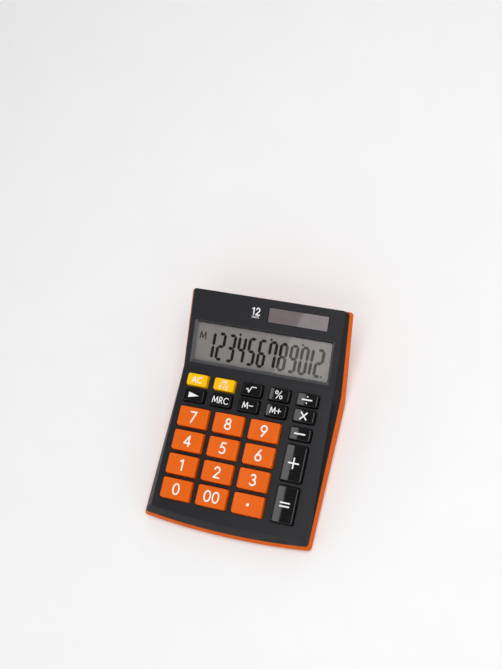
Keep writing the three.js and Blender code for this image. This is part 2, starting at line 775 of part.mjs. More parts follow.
// The processor is a drop of resin on the board's underside.
function processorGeometry() {
  return turned([
    [0, 0],
    [blobRadius * 0.55, blobHeight * 0.15],
    [blobRadius * 0.85, blobHeight * 0.5],
    [blobRadius, blobHeight],
    [0, blobHeight],
  ], 16);
}
const blobY = fieldTop - smallRowsDepth;
const blobBottom = boardBottom - gap - blobHeight;
place(keyboard, 'processor', processorGeometry(), 'epoxy', blobX, blobY, blobBottom);

for (const screw of boardScrews) {
  const geometry = screwGeometry(boardBossRadius, boardScrewHead, boardScrewRadius, boardScrewLength);
  place(keyboard, `board_screw_${screw.name}`, geometry, 'steel', screw.x, screw.y, boardScrewBottom);
}

// Display stack, listed from the deck down.
function plate(width, front, rear, bottom, top) {
  return box(-width / 2, width / 2, front, rear, bottom, top);
}
const windowFront = displayY - windowDepth / 2;
const windowRear = displayY + windowDepth / 2;
const glassRear = displayY + glassDepth / 2;
const windowGeometry = plate(windowWidth, windowFront, windowRear, windowBottom, windowTop);
const glassGeometry = plate(glassWidth, glassFront, glassRear, glassBottom, glassTop);
const holderFront = glassFront + holderLedge;
const holderGeometry = plate(glassWidth, holderFront, glassRear, holderBottom, holderTop);
place(display, 'display_window', windowGeometry, 'window');
place(display, 'display_glass', glassGeometry, 'glass');
place(display, 'display_holder', holderGeometry, 'white');

function solarPlate(bottom, top) {
  const ring = (z) => roundedRing(solarWindowWidth, solarWindowDepth, solarCorner, z);
  return loft([ring(bottom), ring(top)], fanCap);
}
place(display, 'solar_window', solarPlate(-solarWindowThickness, 0), 'solar', solarX, solarY);
place(display, 'solar_cell', solarPlate(solarCellBottom, solarCellTop), 'solar', solarX, solarY);

// A point given in a deck's own frame, as its Y and Z in the body's frame.
function onDeck(frame, y, z) {
  const point = new THREE.Vector3(0, y, z).applyMatrix4(frame);
  return [point.y, point.z];
}

const ribbonLift = gap + ribbonThickness / 2;
const displayRibbon = [
  onDeck(keyboardFrame, boardRearY - ribbonLap, boardTop + ribbonLift),
  onDeck(keyboardFrame, boardRearY + ribbonLap / 2, boardTop + ribbonLift),
  onDeck(displayFrame, glassFront, glassBottom - ribbonLift),
  onDeck(displayFrame, holderFront - 3 * gap, glassBottom - ribbonLift),
];
const displayRibbonGeometry = ribbon(displayRibbon, ribbonThickness, connectorWidth, 0);
place(calculator, 'display_ribbon', displayRibbonGeometry, 'ribbon');

const solarFront = solarY - solarWindowDepth / 2;
const leadRoom = 2 * ribbonLift; // between the solar leads and the display holder
const solarLeads = [
  onDeck(displayFrame, solarY, solarCellBottom - ribbonLift),
  onDeck(displayFrame, solarFront - ribbonLap / 3, solarCellBottom - ribbonLift),
  onDeck(displayFrame, displayTopY - ribbonLap / 3, holderBottom - leadRoom),
  onDeck(displayFrame, holderFront, holderBottom - leadRoom),
  onDeck(keyboardFrame, boardRearY - ribbonLap / 3, boardBottom - ribbonLift),
  onDeck(keyboardFrame, boardRearY - 2 * ribbonLap, boardBottom - ribbonLift),
];
const leadsGeometry = ribbon(solarLeads, ribbonThickness, solarLeadWidth, solarX + solarLeadShift);
place(calculator, 'solar_leads', leadsGeometry, 'ribbon');

// Backup cell, its contacts and leads, and the door under it. The negative contact lies on the
// cell, and the positive one stands beside it.
const cellGeometry = cylinder(cellDiameter / 2, 0, 0, 0, cellThickness, 28);
place(calculator, 'button_cell', cellGeometry, 'steel', bayX, bayY, cellBottom);
const flatContact = box(-contactHalf, contactHalf, -contactHalf, contactHalf, 0, contactThickness);
place(calculator, 'cell_contact_negative', flatContact, 'brass', bayX, bayY, cellTop + gap);
const sideContact = box(0, contactThickness, -contactHalf, contactHalf, 0, cellThickness);
const sideContactX = bayX + cellDiameter / 2 + gap;
place(calculator, 'cell_contact_positive', sideContact, 'brass', sideContactX, bayY, cellBottom);
const leadBottom = cellTop + 2 * gap + contactThickness;
const bayOnDeck = (bayY - bendY) / Math.cos(keyboardSlope);
const leadTop = onDeck(keyboardFrame, bayOnDeck, boardBottom)[1] - 2 * gap;
const leadHalfX = cellLeadWidth / 2;
const leadHalfY = cellLeadThickness / 2;
const cellLeads = box(-leadHalfX, leadHalfX, -leadHalfY, leadHalfY, leadBottom, leadTop);
place(calculator, 'cell_leads', cellLeads, 'ribbon', bayX, bayY);
place(calculator, 'battery_door', doorGeometry(), 'orange', bayX);

for (const boss of caseBosses) {
  const { seat, shank } = screwFit(boss);
  const geometry = screwGeometry(caseScrewHeadRadius, caseScrewHead, caseScrewRadius, shank - gap);
  const bottom = seat - gap - caseScrewHead;
  place(calculator, `case_screw_${boss.name}`, geometry, 'steel', boss.x, boss.y, bottom);
}

function footGeometry() {
  const top = footHeight + footRecess - gap;
  return turned([
    [0, 0],
    [footRadius - footBreak, 0],
    [footRadius, footBreak],
    [footRadius, top],
    [0, top],
  ], 20);
}
for (const foot of feet) {
  place(calculator, `foot_${foot.name}`, footGeometry(), 'rubber', foot.x, foot.y);
}

export default calculator;
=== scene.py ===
import json
import math

import bmesh
import bpy
from mathutils import Matrix, Vector
from mathutils.bvhtree import BVHTree

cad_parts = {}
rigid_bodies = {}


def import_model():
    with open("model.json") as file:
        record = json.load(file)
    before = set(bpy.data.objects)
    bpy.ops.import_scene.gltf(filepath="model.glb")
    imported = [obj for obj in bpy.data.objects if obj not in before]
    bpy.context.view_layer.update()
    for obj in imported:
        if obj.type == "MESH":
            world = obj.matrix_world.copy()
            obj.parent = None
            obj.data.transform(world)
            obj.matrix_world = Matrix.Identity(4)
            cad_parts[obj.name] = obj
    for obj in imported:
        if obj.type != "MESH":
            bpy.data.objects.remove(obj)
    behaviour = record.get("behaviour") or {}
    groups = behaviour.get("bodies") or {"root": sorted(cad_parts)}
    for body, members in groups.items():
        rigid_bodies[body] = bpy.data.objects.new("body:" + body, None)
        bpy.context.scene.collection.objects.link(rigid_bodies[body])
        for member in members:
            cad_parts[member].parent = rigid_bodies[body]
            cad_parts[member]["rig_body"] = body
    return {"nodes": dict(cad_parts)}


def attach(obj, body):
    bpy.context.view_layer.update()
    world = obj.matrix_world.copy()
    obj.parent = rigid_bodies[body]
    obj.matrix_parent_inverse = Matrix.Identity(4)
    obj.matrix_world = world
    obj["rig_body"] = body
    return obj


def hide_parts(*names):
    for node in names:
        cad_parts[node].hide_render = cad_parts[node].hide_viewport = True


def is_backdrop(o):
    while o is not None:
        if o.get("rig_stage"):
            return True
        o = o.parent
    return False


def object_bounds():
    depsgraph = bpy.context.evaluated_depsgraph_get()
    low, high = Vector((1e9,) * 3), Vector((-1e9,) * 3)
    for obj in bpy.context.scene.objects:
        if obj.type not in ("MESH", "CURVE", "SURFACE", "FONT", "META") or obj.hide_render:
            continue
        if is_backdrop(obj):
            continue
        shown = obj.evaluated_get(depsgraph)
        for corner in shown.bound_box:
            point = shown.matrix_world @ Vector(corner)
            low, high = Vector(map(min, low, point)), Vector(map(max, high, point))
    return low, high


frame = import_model()
CAD_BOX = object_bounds()
NODES = frame["nodes"]
MM = 0.001

# ---- Sizes of the finish, in metres --------------------------------------------------------------
SHELL_ROUND = 0.35 * MM
SMALL_ROUND = 0.2 * MM
FINE_ROUND = 0.1 * MM
FRAME_WIDTH = 4 * MM  # the display's bevelled frame lies within this of its opening
KEY_DISH = 0.3 * MM  # the tops of the keys are hollow by this much across their width
KEY_CORNER = 1.5 * MM  # radius of a cap's corners seen from above
INK = 0.02 * MM  # thickness of printed marks
INK_LIFT = 0.006 * MM  # under them
INK_STEP = INK / 12  # each stroke lies this much higher than the one before, so that none coincide
STROKE_STEP = 0.35 * MM
DIGIT_HEIGHT = 21.4 * MM
DIGIT_WIDTH = 5.0 * MM  # between the middles of its strokes; a one has no width
DIGIT_GAP = 4.0 * MM
DIGIT_DROP = 1.9 * MM  # from the middle of the display down to the middle of the row
FIRST_DIGIT = -42.6 * MM
SEGMENT_HALF = 1.25 * MM
SEGMENT_GAP = 0.12 * MM
SAME_LEVEL = 0.05 * MM  # points closer in height than this are on one level
WELD = 0.002 * MM

# ---- Counts, shares and angles -------------------------------------------------------------------
FILLET_STEPS = 5
CROWN_SHARES = (0.9, 0.75, 0.55, 0.35, 0.15, 0.04)  # sizes of the rings of a key's top
DISPLAY_SLANT = 0.06
# Faces sorted by these slopes take painted light: the flank a darker paint as painted shade, the
# display's frame a paler, bluer paint as painted highlight.
FLANK_SLOPE = 0.6  # the shell's faces with less of their normal upright are its flank
FRAME_SLOPES = (0.2, 0.97)  # and the display's frame has between these along the display's normal
SHARP = math.radians(32)  # edges of the frame's nodes that turn by more are rounded
PIECE_SHARP = math.radians(35)  # and those of new pieces are shaded as corners
WEDGE = math.radians(125)  # the body is a thin wedge where an edge turns by more than this
STROKE_CORNER = 0.6  # a stroke that turns by more than this, in radians, is drawn in two


# ---- Flat nodes ----------------------------------------------------------------------------------
class Seat:
    """A flat node's own axes: X across the body, Y up its slope, Z out of its upper face."""

    def __init__(self, node):
        mesh = NODES[node].data
        upward = [polygon for polygon in mesh.polygons if polygon.normal.z > 0.8]
        normal = max(upward, key=lambda polygon: polygon.area).normal.normalized()
        across = Vector((1, 0, 0))
        self.axes = Matrix((across, normal.cross(across), normal)).transposed()
        self.points = [self.axes.transposed() @ vertex.co for vertex in mesh.vertices]
        self.levels = []
        for height in sorted(point.z for point in self.points):
            if not self.levels or height - self.levels[-1] > SAME_LEVEL:
                self.levels.append(height)
        low, high = self.extent(self.levels[0], self.levels[-1])
        self.centre = (low + high) / 2

    def extent(self, bottom, top):
        """The lowest and highest X and Y of the points between two heights."""
        margin = 0.4 * SAME_LEVEL
        inside = [p for p in self.points if bottom - margin <= p.z <= top + margin]
        low = Vector((min(p.x for p in inside), min(p.y for p in inside)))
        high = Vector((max(p.x for p in inside), max(p.y for p in inside)))
        return low, high

    def size_at(self, height):
        low, high = self.extent(height, height)
        return high - low

    def place(self, x, y, z):
        """A point given from the node's middle, at a height along the normal, in the object's frame."""
        return self.axes @ Vector((self.centre.x + x, self.centre.y + y, z))


# ---- Mesh helpers --------------------------------------------------------------------------------
def piece(name, vertices, faces, paint, body, slot, smooth=True):
    mesh = bpy.data.meshes.new(name)
    mesh.from_pydata([tuple(vertex) for vertex in vertices], [], faces)
    mesh.update()
    if smooth:
        mesh.shade_smooth()
        mesh.set_sharp_from_angle(angle=PIECE_SHARP)
    made = bpy.data.objects.new(name, mesh)
    bpy.context.scene.collection.objects.link(made)
    mesh.materials.append(paint)
    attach(made, body)
    return made


def lofted(rings):
    """Vertices and faces of a closed body through rings of equally many points, lowest first."""
    count = len(rings[0])
    vertices = [point for ring in rings for point in ring]
    faces = [tuple(reversed(range(count)))]
    for level in range(len(rings) - 1):
        for i in range(count):
            here = level * count + i
            after = level * count + (i + 1) % count
            faces.append((here, after, after + count, here + count))
    last = (len(rings) - 1) * count
    faces.append(tuple(range(last, last + count)))
    return vertices, faces


class Heap:
    """Collects closed bodies into the vertices and faces of one mesh."""

    def __init__(self):
        self.vertices = []
        self.faces = []

    def add(self, vertices, faces):
        start = len(self.vertices)
        self.vertices.extend(vertices)
        self.faces.extend(tuple(start + i for i in face) for face in faces)


def rounded_ring(width, depth, radius, corner_steps=6, edge_steps=8):
    """Points of a rounded rectangle, anticlockwise, with as many points on each straight edge."""
    radius = min(radius, width / 2, depth / 2)
    ring = []
    for quarter, (side_x, side_y) in enumerate([(1, -1), (1, 1), (-1, 1), (-1, -1)]):
        middle = Vector((side_x * (width / 2 - radius), side_y * (depth / 2 - radius)))
        for i in range(corner_steps + 1):
            angle = math.pi / 2 * (quarter - 1 + i / corner_steps)
            ring.append(middle + radius * Vector((math.cos(angle), math.sin(angle))))
        end = ring[-1]
        run = (depth if quarter in (0, 2) else width) - 2 * radius
        turned = math.pi / 2 * quarter
        along = Vector((-math.sin(turned), math.cos(turned)))
        ring.extend(end + along * run * i / edge_steps for i in range(1, edge_steps))
    return ring


def exposed_edges(shape, sharpest):
    """The convex edges sharper than an angle from which a ray leaves the body for good.

    Edges that end where the body tapers to a thin wedge are left as they are.
    """
    clear = 0.05 * MM  # the ray starts this far out
    tree = BVHTree.FromBMesh(shape)
    thin = set()
    for edge in shape.edges:
        if edge.calc_face_angle(0) > WEDGE:
            thin.update(edge.verts)
    found = []
    for edge in shape.edges:
        if not edge.is_convex or edge.calc_face_angle(0) < sharpest:
            continue
        if thin.intersection(edge.verts):
            continue
        outward = (edge.link_faces[0].normal + edge.link_faces[1].normal).normalized()
        start = (edge.verts[0].co + edge.verts[1].co) / 2 + outward * clear
        if tree.ray_cast(start, outward)[0] is None:
            found.append(edge)
    return found


def dressed(node, paint, rounding, segments=3, more_paints=(), part_of=None):
    """A copy of a CAD node with its outer edges rounded, which stands for it.

    part_of gives, for a face, 0 for the first paint or the number of one of more_paints.
    """
    shape = bmesh.new()
    shape.from_mesh(NODES[node].data)
    bmesh.ops.remove_doubles(shape, verts=shape.verts, dist=WELD)
    shape.normal_update()
    weight = shape.edges.layers.float.new("bevel_weight_edge")
    for edge in exposed_edges(shape, SHARP):
        edge[weight] = 1
    if part_of:
        for face in shape.faces:
            face.material_index = part_of(face)
    mesh = bpy.data.meshes.new(f"{node}_finish")
    shape.to_mesh(mesh)
    shape.free()
    mesh.shade_smooth()
    mesh.set_sharp_from_angle(angle=SHARP)
    made = bpy.data.objects.new(f"{node}_finish", mesh)
    bpy.context.scene.collection.objects.link(made)
    for coat in (paint, *more_paints):
        mesh.materials.append(coat)
    rounded = made.modifiers.new("rounded edges", "BEVEL")
    rounded.limit_method = "WEIGHT"
    rounded.width = rounding
    rounded.segments = segments
    rounded.use_clamp_overlap = False
    weighted = made.modifiers.new("even shading", "WEIGHTED_NORMAL")
    weighted.keep_sharp = True
    baked = bpy.data.meshes.new_from_object(
        made.evaluated_get(bpy.context.evaluated_depsgraph_get())
    )
    made.modifiers.clear()
    made.data = baked
    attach(made, NODES[node]["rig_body"])
    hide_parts(node)


# ---- Printed strokes -----------------------------------------------------------------------------
def line(*points):
    return [Vector(point) for point in points]


def arc(x, y, radius_x, radius_y, start, end):
    """Points along part of an ellipse, from one angle to another in degrees."""
    steps = max(4, round(abs(end - start) / 12))
    angles = [math.radians(start + (end - start) * i / steps) for i in range(steps + 1)]
    return [Vector((x + radius_x * math.cos(a), y + radius_y * math.sin(a))) for a in angles]


# Each glyph is its advance and its strokes, in units of its height.
GLYPHS = {
    "0": (0.64, [arc(0.32, 0.5, 0.26, 0.44, 90, 450)]),
    "1": (0.42, [line((0.06, 0.80), (0.27, 0.93), (0.27, 0.06))]),
    "2": (0.60, [arc(0.29, 0.69, 0.22, 0.25, 165, -33) + line((0.07, 0.06), (0.56, 0.06))]),
    "3": (0.58, [arc(0.27, 0.73, 0.19, 0.21, 150, -90), arc(0.27, 0.29, 0.25, 0.23, 90, -145)]),
    "4": (0.62, [line((0.46, 0.06), (0.46, 0.94), (0.05, 0.30), (0.59, 0.30))]),
    "5": (0.60, [line((0.53, 0.94), (0.21, 0.94), (0.12, 0.55))
                 + arc(0.28, 0.33, 0.26, 0.27, 118, -140)]),
    "6": (0.60, [line((0.41, 0.96), (0.10, 0.46)), arc(0.30, 0.31, 0.24, 0.25, 0, 360)]),
    "7": (0.58, [line((0.06, 0.94), (0.54, 0.94), (0.19, 0.06))]),
    "8": (0.60, [arc(0.30, 0.73, 0.19, 0.21, 0, 360), arc(0.30, 0.29, 0.24, 0.23, 0, 360)]),
    "9": (0.60, [arc(0.30, 0.69, 0.24, 0.25, 0, 360), line((0.50, 0.54), (0.19, 0.04))]),
    "A": (0.76, [line((0.05, 0.06), (0.38, 0.96), (0.71, 0.06)), line((0.17, 0.34), (0.59, 0.34))]),
    "C": (0.80, [arc(0.46, 0.5, 0.40, 0.44, 48, 312)]),
    "D": (0.70, [line((0.09, 0.06), (0.09, 0.94), (0.25, 0.94)) + arc(0.25, 0.5, 0.38, 0.44, 90, -90)
                 + line((0.09, 0.06))]),
    "E": (0.56, [line((0.50, 0.94), (0.09, 0.94), (0.09, 0.06), (0.50, 0.06)),
                 line((0.09, 0.5), (0.46, 0.5))]),
    "G": (0.84, [arc(0.46, 0.5, 0.40, 0.44, 48, 330) + line((0.86, 0.46), (0.5, 0.46))]),
    "I": (0.24, [line((0.12, 0.06), (0.12, 0.94))]),
    "M": (0.92, [line((0.06, 0.06), (0.17, 0.94), (0.46, 0.20), (0.75, 0.94), (0.86, 0.06))]),
    "N": (0.74, [line((0.09, 0.06), (0.09, 0.94), (0.65, 0.06), (0.65, 0.94))]),
    "O": (0.92, [arc(0.46, 0.5, 0.40, 0.44, 90, 450)]),
    "R": (0.60, [line((0.09, 0.06), (0.09, 0.94), (0.26, 0.94)) + arc(0.26, 0.70, 0.22, 0.24, 90, -90)
                 + line((0.09, 0.46)), line((0.26, 0.46), (0.54, 0.06))]),
    "S": (0.54, [arc(0.27, 0.72, 0.19, 0.22, 35, 255) + arc(0.27, 0.28, 0.21, 0.22, 75, -145)]),
    "T": (0.52, [line((0.02, 0.94), (0.50, 0.94)), line((0.26, 0.94), (0.26, 0.06))]),
    "dot": (0.26, [line((0.13, 0.47), (0.13, 0.53))]),
    "bar": (3.20, [line((0, 0.5), (3.20, 0.5))]),
    "plus": (1.0, [line((0.03, 0.5), (0.97, 0.5)), line((0.5, 0.03), (0.5, 0.97))]),
    "minus": (1.0, [line((0.03, 0.5), (0.97, 0.5))]),
    "sign_plus": (0.72, [line((0.05, 0.5), (0.67, 0.5)), line((0.36, 0.19), (0.36, 0.81))]),
    "sign_minus": (0.66, [line((0.05, 0.5), (0.61, 0.5))]),
    "times": (0.9, [line((0.06, 0.06), (0.84, 0.94)), line((0.06, 0.94), (0.84, 0.06))]),
    "divided": (1.3, [line((0.03, 0.5), (1.27, 0.5)), line((0.65, 0.07), (0.65, 0.09)),
                      line((0.65, 0.91), (0.65, 0.93))]),
    "equals": (1.9, [line((0.05, 0.15), (1.85, 0.15)), line((0.05, 0.85), (1.85, 0.85))]),
    "root": (1.6, [line((0.02, 0.50), (0.22, 0.62), (0.46, 0.06), (0.84, 0.94), (1.56, 0.94))]),
    "percent": (1.0, [line((0.24, 0.04), (0.76, 0.96)), arc(0.20, 0.76, 0.15, 0.18, 0, 360),
                      arc(0.80, 0.24, 0.15, 0.18, 0, 360)]),
}

# The rows of each key's legend: its glyphs, then in millimetres its height, stroke width and rise
# above the key's middle.
DIGITS = {label: [(list(label), 9.6, 1.25, 0)] for label in "0123456789"}
LEGENDS = DIGITS | {
    "00": [("0 0".split(), 9.6, 1.2, 0)],
    "point": [(["dot"], 3.0, 2.3, 0)],
    "ac": [(["A", "C"], 5.4, 0.8, 0)],
    "on_clear_entry": [
        (["O", "N"], 2.5, 0.42, 2.4),
        (["bar"], 2.4, 0.25, 0.15),
        (["C", "dot", "C", "E"], 2.9, 0.45, -2.4),
    ],
    "square_root": [(["root"], 5.2, 0.75, 0)],
    "percent": [(["percent"], 6.8, 0.7, 0)],
    "divide": [(["divided"], 6.2, 1.15, 0)],
    "memory_recall": [(["M", "R", "C"], 5.6, 0.72, 0)],
    "memory_minus": [(["M", "sign_minus"], 5.4, 0.75, 0)],
    "memory_plus": [(["M", "sign_plus"], 5.4, 0.75, 0)],
    "multiply": [(["times"], 6.2, 1.1, 0)],
    "minus": [(["minus"], 8.8, 1.15, 0)],
    "plus": [(["plus"], 8.8, 1.15, 0)],
    "equals": [(["equals"], 4.0, 1.15, 0)],
}
ARROW = [(-4.4, -2.3), (4.6, 0), (-4.4, 2.3)]  # the backspace key's solid arrow, in millimetres


def split_at_corners(points):
    """The runs of a stroke between its sharp corners, so that each run bends smoothly."""
    runs = [[points[0]]]
    for before, here, after in zip(points, points[1:], points[2:] + [None]):
        runs[-1].append(here)
        if after is None:
            break
        arriving, leaving = here - before, after - here
        if arriving.length and leaving.length and arriving.angle(leaving) > STROKE_CORNER:
            runs.append([here])
    return [run for run in runs if len(run) > 1]


def evenly(points, step):
    """The same path with points no further apart than a step."""
    path = [points[0]]
    for here, after in zip(points, points[1:]):
        count = max(1, math.ceil((after - here).length / step))
        path.extend(here.lerp(after, i / count) for i in range(1, count + 1))
    return path


def ink_stroke(heap, points, width, surface, lift):
    """Adds a low, round-ended ridge of ink along a path. surface turns X, Y and a lift into a point."""
    path = evenly(points, STROKE_STEP)
    half = width / 2
    tangents = []
    for i in range(len(path)):
        tangent = path[min(i + 1, len(path) - 1)] - path[max(i - 1, 0)]
        tangents.append(tangent.normalized())
    round_end = [(half * math.sin(a), half * math.cos(a)) for a in map(math.radians, (80, 60, 40, 20))]
    stations = [(path[0] - tangents[0] * out, tangents[0], reach) for out, reach in round_end]
    stations.extend((point, tangent, half) for point, tangent in zip(path, tangents))
    stations.extend(
        (path[-1] + tangents[-1] * out, tangents[-1], reach) for out, reach in reversed(round_end)
    )
    section = [(-1, 0), (-0.8, 0.8), (0, 1), (0.8, 0.8), (1, 0)]
    rings = []
    for point, tangent, reach in stations:
        side = Vector((tangent.y, -tangent.x))
        ring = []
        for share, height in section:
            flat = point + side * reach * share
            ring.append(surface(flat.x, flat.y, lift + INK_LIFT + INK * height))
        rings.append(ring)
    heap.add(*lofted(rings))


def write_row(heap, glyphs, height, width, rise, surface, lift=0):
    """Adds a row of glyphs, centred, and returns the height that later ink starts from."""
    spacing = 0.10
    total = sum(GLYPHS[glyph][0] for glyph in glyphs) + spacing * (len(glyphs) - 1)
    x = -total * height / 2
    for glyph in glyphs:
        advance, strokes = GLYPHS[glyph]
        for stroke in strokes:
            points = [Vector((x + p.x * height, rise + (p.y - 0.5) * height)) for p in stroke]
            for run in split_at_corners(points):
                ink_stroke(heap, run, width, surface, lift)
                lift += INK_STEP
        x += (advance + spacing) * height
    return lift


def ink_plate(heap, outline, surface):
    """Adds a flat printed area with the given outline, anticlockwise."""
    middle = sum(outline, Vector((0, 0))) / len(outline)
    rings = []
    for share, height in ((1, 0), (1, 0.7), (0.96, 1)):
        ring = [middle.lerp(point, share) for point in outline]
        rings.append([surface(p.x, p.y, INK_LIFT + INK * height) for p in ring])
    heap.add(*lofted(rings))


# ---- Materials -----------------------------------------------------------------------------------
MIX_SHARE, MIX_FIRST, MIX_SECOND = 0, 6, 7  # inputs of a Mix node for colours
MIX_RESULT = 2


class Paint:
    """A node material with a Principled shader, and short calls to add nodes to it."""

    def __init__(self, name, **fixed):
        self.material = bpy.data.materials.new(name)
        self.material.use_nodes = True
        self.tree = self.material.node_tree
        self.tree.nodes.clear()
        self.shader = self.add("ShaderNodeBsdfPrincipled")
        self.output = self.add("ShaderNodeOutputMaterial", {"Surface": self.shader.outputs["BSDF"]})
        for socket, value in fixed.items():
            self.shader.inputs[socket.replace("_", " ")].default_value = value
        self.place = self.add("ShaderNodeTexCoord").outputs["Object"]

    def add(self, kind, inputs=None, **settings):
        node = self.tree.nodes.new(kind)
        for key, value in settings.items():
            setattr(node, key, value)
        for socket, value in (inputs or {}).items():
            if isinstance(value, bpy.types.NodeSocket):
                self.tree.links.new(value, node.inputs[socket])
            else:
                node.inputs[socket].default_value = value
        return node

    def join(self, value, socket):
        self.tree.links.new(value, self.shader.inputs[socket])

    def noise(self, size, detail=3.0, roughness=0.55, stretch=(1, 1, 1)):
        """Noise with features of a size in metres."""
        spread = self.add("ShaderNodeMapping", {"Vector": self.place, "Scale": stretch})
        made = self.add("ShaderNodeTexNoise", {
            "Vector": spread.outputs["Vector"],
            "Scale": 1 / size,
            "Detail": detail,
            "Roughness": roughness,
        })
        return made.outputs["Fac"]

    def ramp(self, value, *stops):
        """Maps a value through stops of (position, grey level or colour)."""
        made = self.add("ShaderNodeValToRGB", {"Fac": value})
        elements = made.color_ramp.elements
        while len(elements) < len(stops):
            elements.new(0.5)
        for element, (position, colour) in zip(elements, stops):
            element.position = position
            element.color = (*colour, 1) if isinstance(colour, tuple) else (colour, colour, colour, 1)
        return made.outputs["Color"]

    def mix(self, share, first, second):
        made = self.add("ShaderNodeMix", data_type="RGBA")
        for index, value in ((MIX_SHARE, share), (MIX_FIRST, first), (MIX_SECOND, second)):
            if isinstance(value, bpy.types.NodeSocket):
                self.tree.links.new(value, made.inputs[index])
            else:
                made.inputs[index].default_value = (*value, 1) if isinstance(value, tuple) else value
        return made.outputs[MIX_RESULT]

    def math(self, operation, first, second=0.0):
        made = self.add("ShaderNodeMath", {0: first, 1: second}, operation=operation)
        return made.outputs["Value"]

    def edges(self, radius):
        """A mask that is bright where the surface turns within a radius."""
        softened = self.add("ShaderNodeBevel", {"Radius": radius}, samples=4).outputs["Normal"]
        plain = self.add("ShaderNodeNewGeometry").outputs["Normal"]
        match = self.add("ShaderNodeVectorMath", {0: softened, 1: plain}, operation="DOT_PRODUCT")
        return self.ramp(self.math("SUBTRACT", 1.0, match.outputs["Value"]), (0.01, 0.0), (0.12, 1.0))

    def bump(self, height, distance, strength=1.0, under=None):
        inputs = {"Height": height, "Distance": distance, "Strength": strength}
        if under is not None:
            inputs["Normal"] = under
        return self.add("ShaderNodeBump", inputs).outputs["Normal"]


def scaled(colour, share):
    return tuple(min(1.0, channel * share) for channel in colour)


def moulded(name, colour, rough=(0.38, 0.5), grain=0.35 * MM, depth=0.012 * MM, wear=0.5, **fixed):
    """Moulded plastic: spark-eroded grain, slow colour drift, and edges rubbed paler and smoother."""
    paint = Paint(name, **fixed)
    drift = paint.noise(18 * MM, 4)
    fine = paint.noise(grain, 2, 0.6)
    patches = paint.ramp(paint.noise(4 * MM), (0.35, 0.0), (0.7, wear))
    rub = paint.math("MULTIPLY", paint.edges(0.5 * MM), patches)
    body = paint.ramp(drift, (0.3, scaled(colour, 0.94)), (0.7, scaled(colour, 1.06)))
    paler = tuple(channel + (1 - channel) * 0.10 for channel in colour)
    paint.join(paint.mix(rub, body, paler), "Base Color")
    dull = paint.ramp(paint.noise(6 * MM, 5, 0.65), (0.3, rough[0]), (0.7, rough[1]))
    paint.join(paint.mix(rub, dull, (rough[0] * 0.8,) * 3), "Roughness")
    swell = paint.bump(paint.noise(9 * MM, 2), 0.01 * MM, 0.4)
    paint.join(paint.bump(fine, depth, 1.0, swell), "Normal")
    return paint.material


def black_gloss(name):
    """Polished black keys with faint wiping scratches and finger haze."""
    paint = Paint(name, Specular_IOR_Level=0.5)
    colour = (0.0045, 0.0045, 0.0048)
    haze = paint.noise(5 * MM, 5, 0.6)
    scratch = paint.ramp(paint.noise(0.5 * MM, 4, 0.7, (0.15, 1, 1)), (0.62, 0.0), (0.78, 1.0))
    rub = paint.math("MULTIPLY", paint.edges(0.4 * MM), 0.35)
    body = paint.ramp(haze, (0.3, scaled(colour, 0.85)), (0.75, scaled(colour, 1.3)))
    paint.join(paint.mix(rub, body, (0.02, 0.02, 0.021)), "Base Color")
    sheen = paint.ramp(haze, (0.3, 0.04), (0.75, 0.09))
    paint.join(paint.mix(paint.math("MULTIPLY", scratch, 0.25), sheen, (0.35,) * 3), "Roughness")
    paint.join(paint.bump(paint.noise(1.2 * MM, 2), 0.0015 * MM, 0.5), "Normal")
    return paint.material


def printed(name, colour):
    """Screen-printed ink: slightly uneven cover and a dry, fine surface."""
    paint = Paint(name)
    cover = paint.noise(0.6 * MM, 4, 0.65)
    paint.join(paint.ramp(cover, (0.25, scaled(colour, 0.93)), (0.7, colour)), "Base Color")
    paint.join(paint.ramp(cover, (0.3, 0.42), (0.7, 0.6)), "Roughness")
    paint.join(paint.bump(paint.noise(0.2 * MM, 3), 0.004 * MM, 0.6), "Normal")
    return paint.material


def clear_plate(name, tint):
    """A clear polished plate: what lies under it shows, and it mirrors at its own gloss."""
    paint = Paint(name)
    haze = paint.noise(12 * MM, 4)
    gloss = paint.add("ShaderNodeBsdfGlossy", {"Roughness": paint.ramp(haze, (0.3, 0.01), (0.8, 0.035))})
    through = paint.add("ShaderNodeBsdfTransparent", {
        "Color": paint.ramp(haze, (0.3, scaled(tint, 0.98)), (0.7, tint)),
    })
    share = paint.add("ShaderNodeFresnel", {"IOR": 1.5}).outputs["Fac"]
    inside = paint.add("ShaderNodeNewGeometry").outputs["Backfacing"]
    mixed = paint.add("ShaderNodeMixShader", {
        0: paint.math("MULTIPLY", share, paint.math("SUBTRACT", 1.0, inside)),
        1: through.outputs["BSDF"],
        2: gloss.outputs["BSDF"],
    })
    paint.tree.links.new(mixed.outputs["Shader"], paint.output.inputs["Surface"])
    paint.tree.nodes.remove(paint.shader)
    return paint.material


def display_glass(name):
    """The display's reflector seen through its glass: grey, brushed along its length and mottled."""
    paint = Paint(name, Specular_IOR_Level=0.3)
    colour = (0.265, 0.25, 0.235)
    drift = paint.noise(30 * MM, 3)
    brushed = paint.noise(0.25 * MM, 3, 0.6, (0.12, 1, 1))
    base = paint.ramp(drift, (0.3, scaled(colour, 0.96)), (0.7, scaled(colour, 1.04)))
    paint.join(paint.mix(paint.math("MULTIPLY", brushed, 0.14), base, scaled(colour, 0.7)), "Base Color")
    paint.join(paint.ramp(brushed, (0.3, 0.38), (0.7, 0.52)), "Roughness")
    paint.join(paint.bump(brushed, 0.003 * MM, 0.5), "Normal")
    return paint.material


def liquid_ink(name):
    """Switched-on display segments, a little uneven towards their rims."""
    paint = Paint(name, Specular_IOR_Level=0.1)
    cloud = paint.noise(1.5 * MM, 3)
    dark = paint.ramp(cloud, (0.3, (0.006, 0.0055, 0.005)), (0.75, (0.014, 0.013, 0.012)))
    paint.join(dark, "Base Color")
    paint.join(paint.ramp(cloud, (0.3, 0.35), (0.7, 0.5)), "Roughness")
    return paint.material


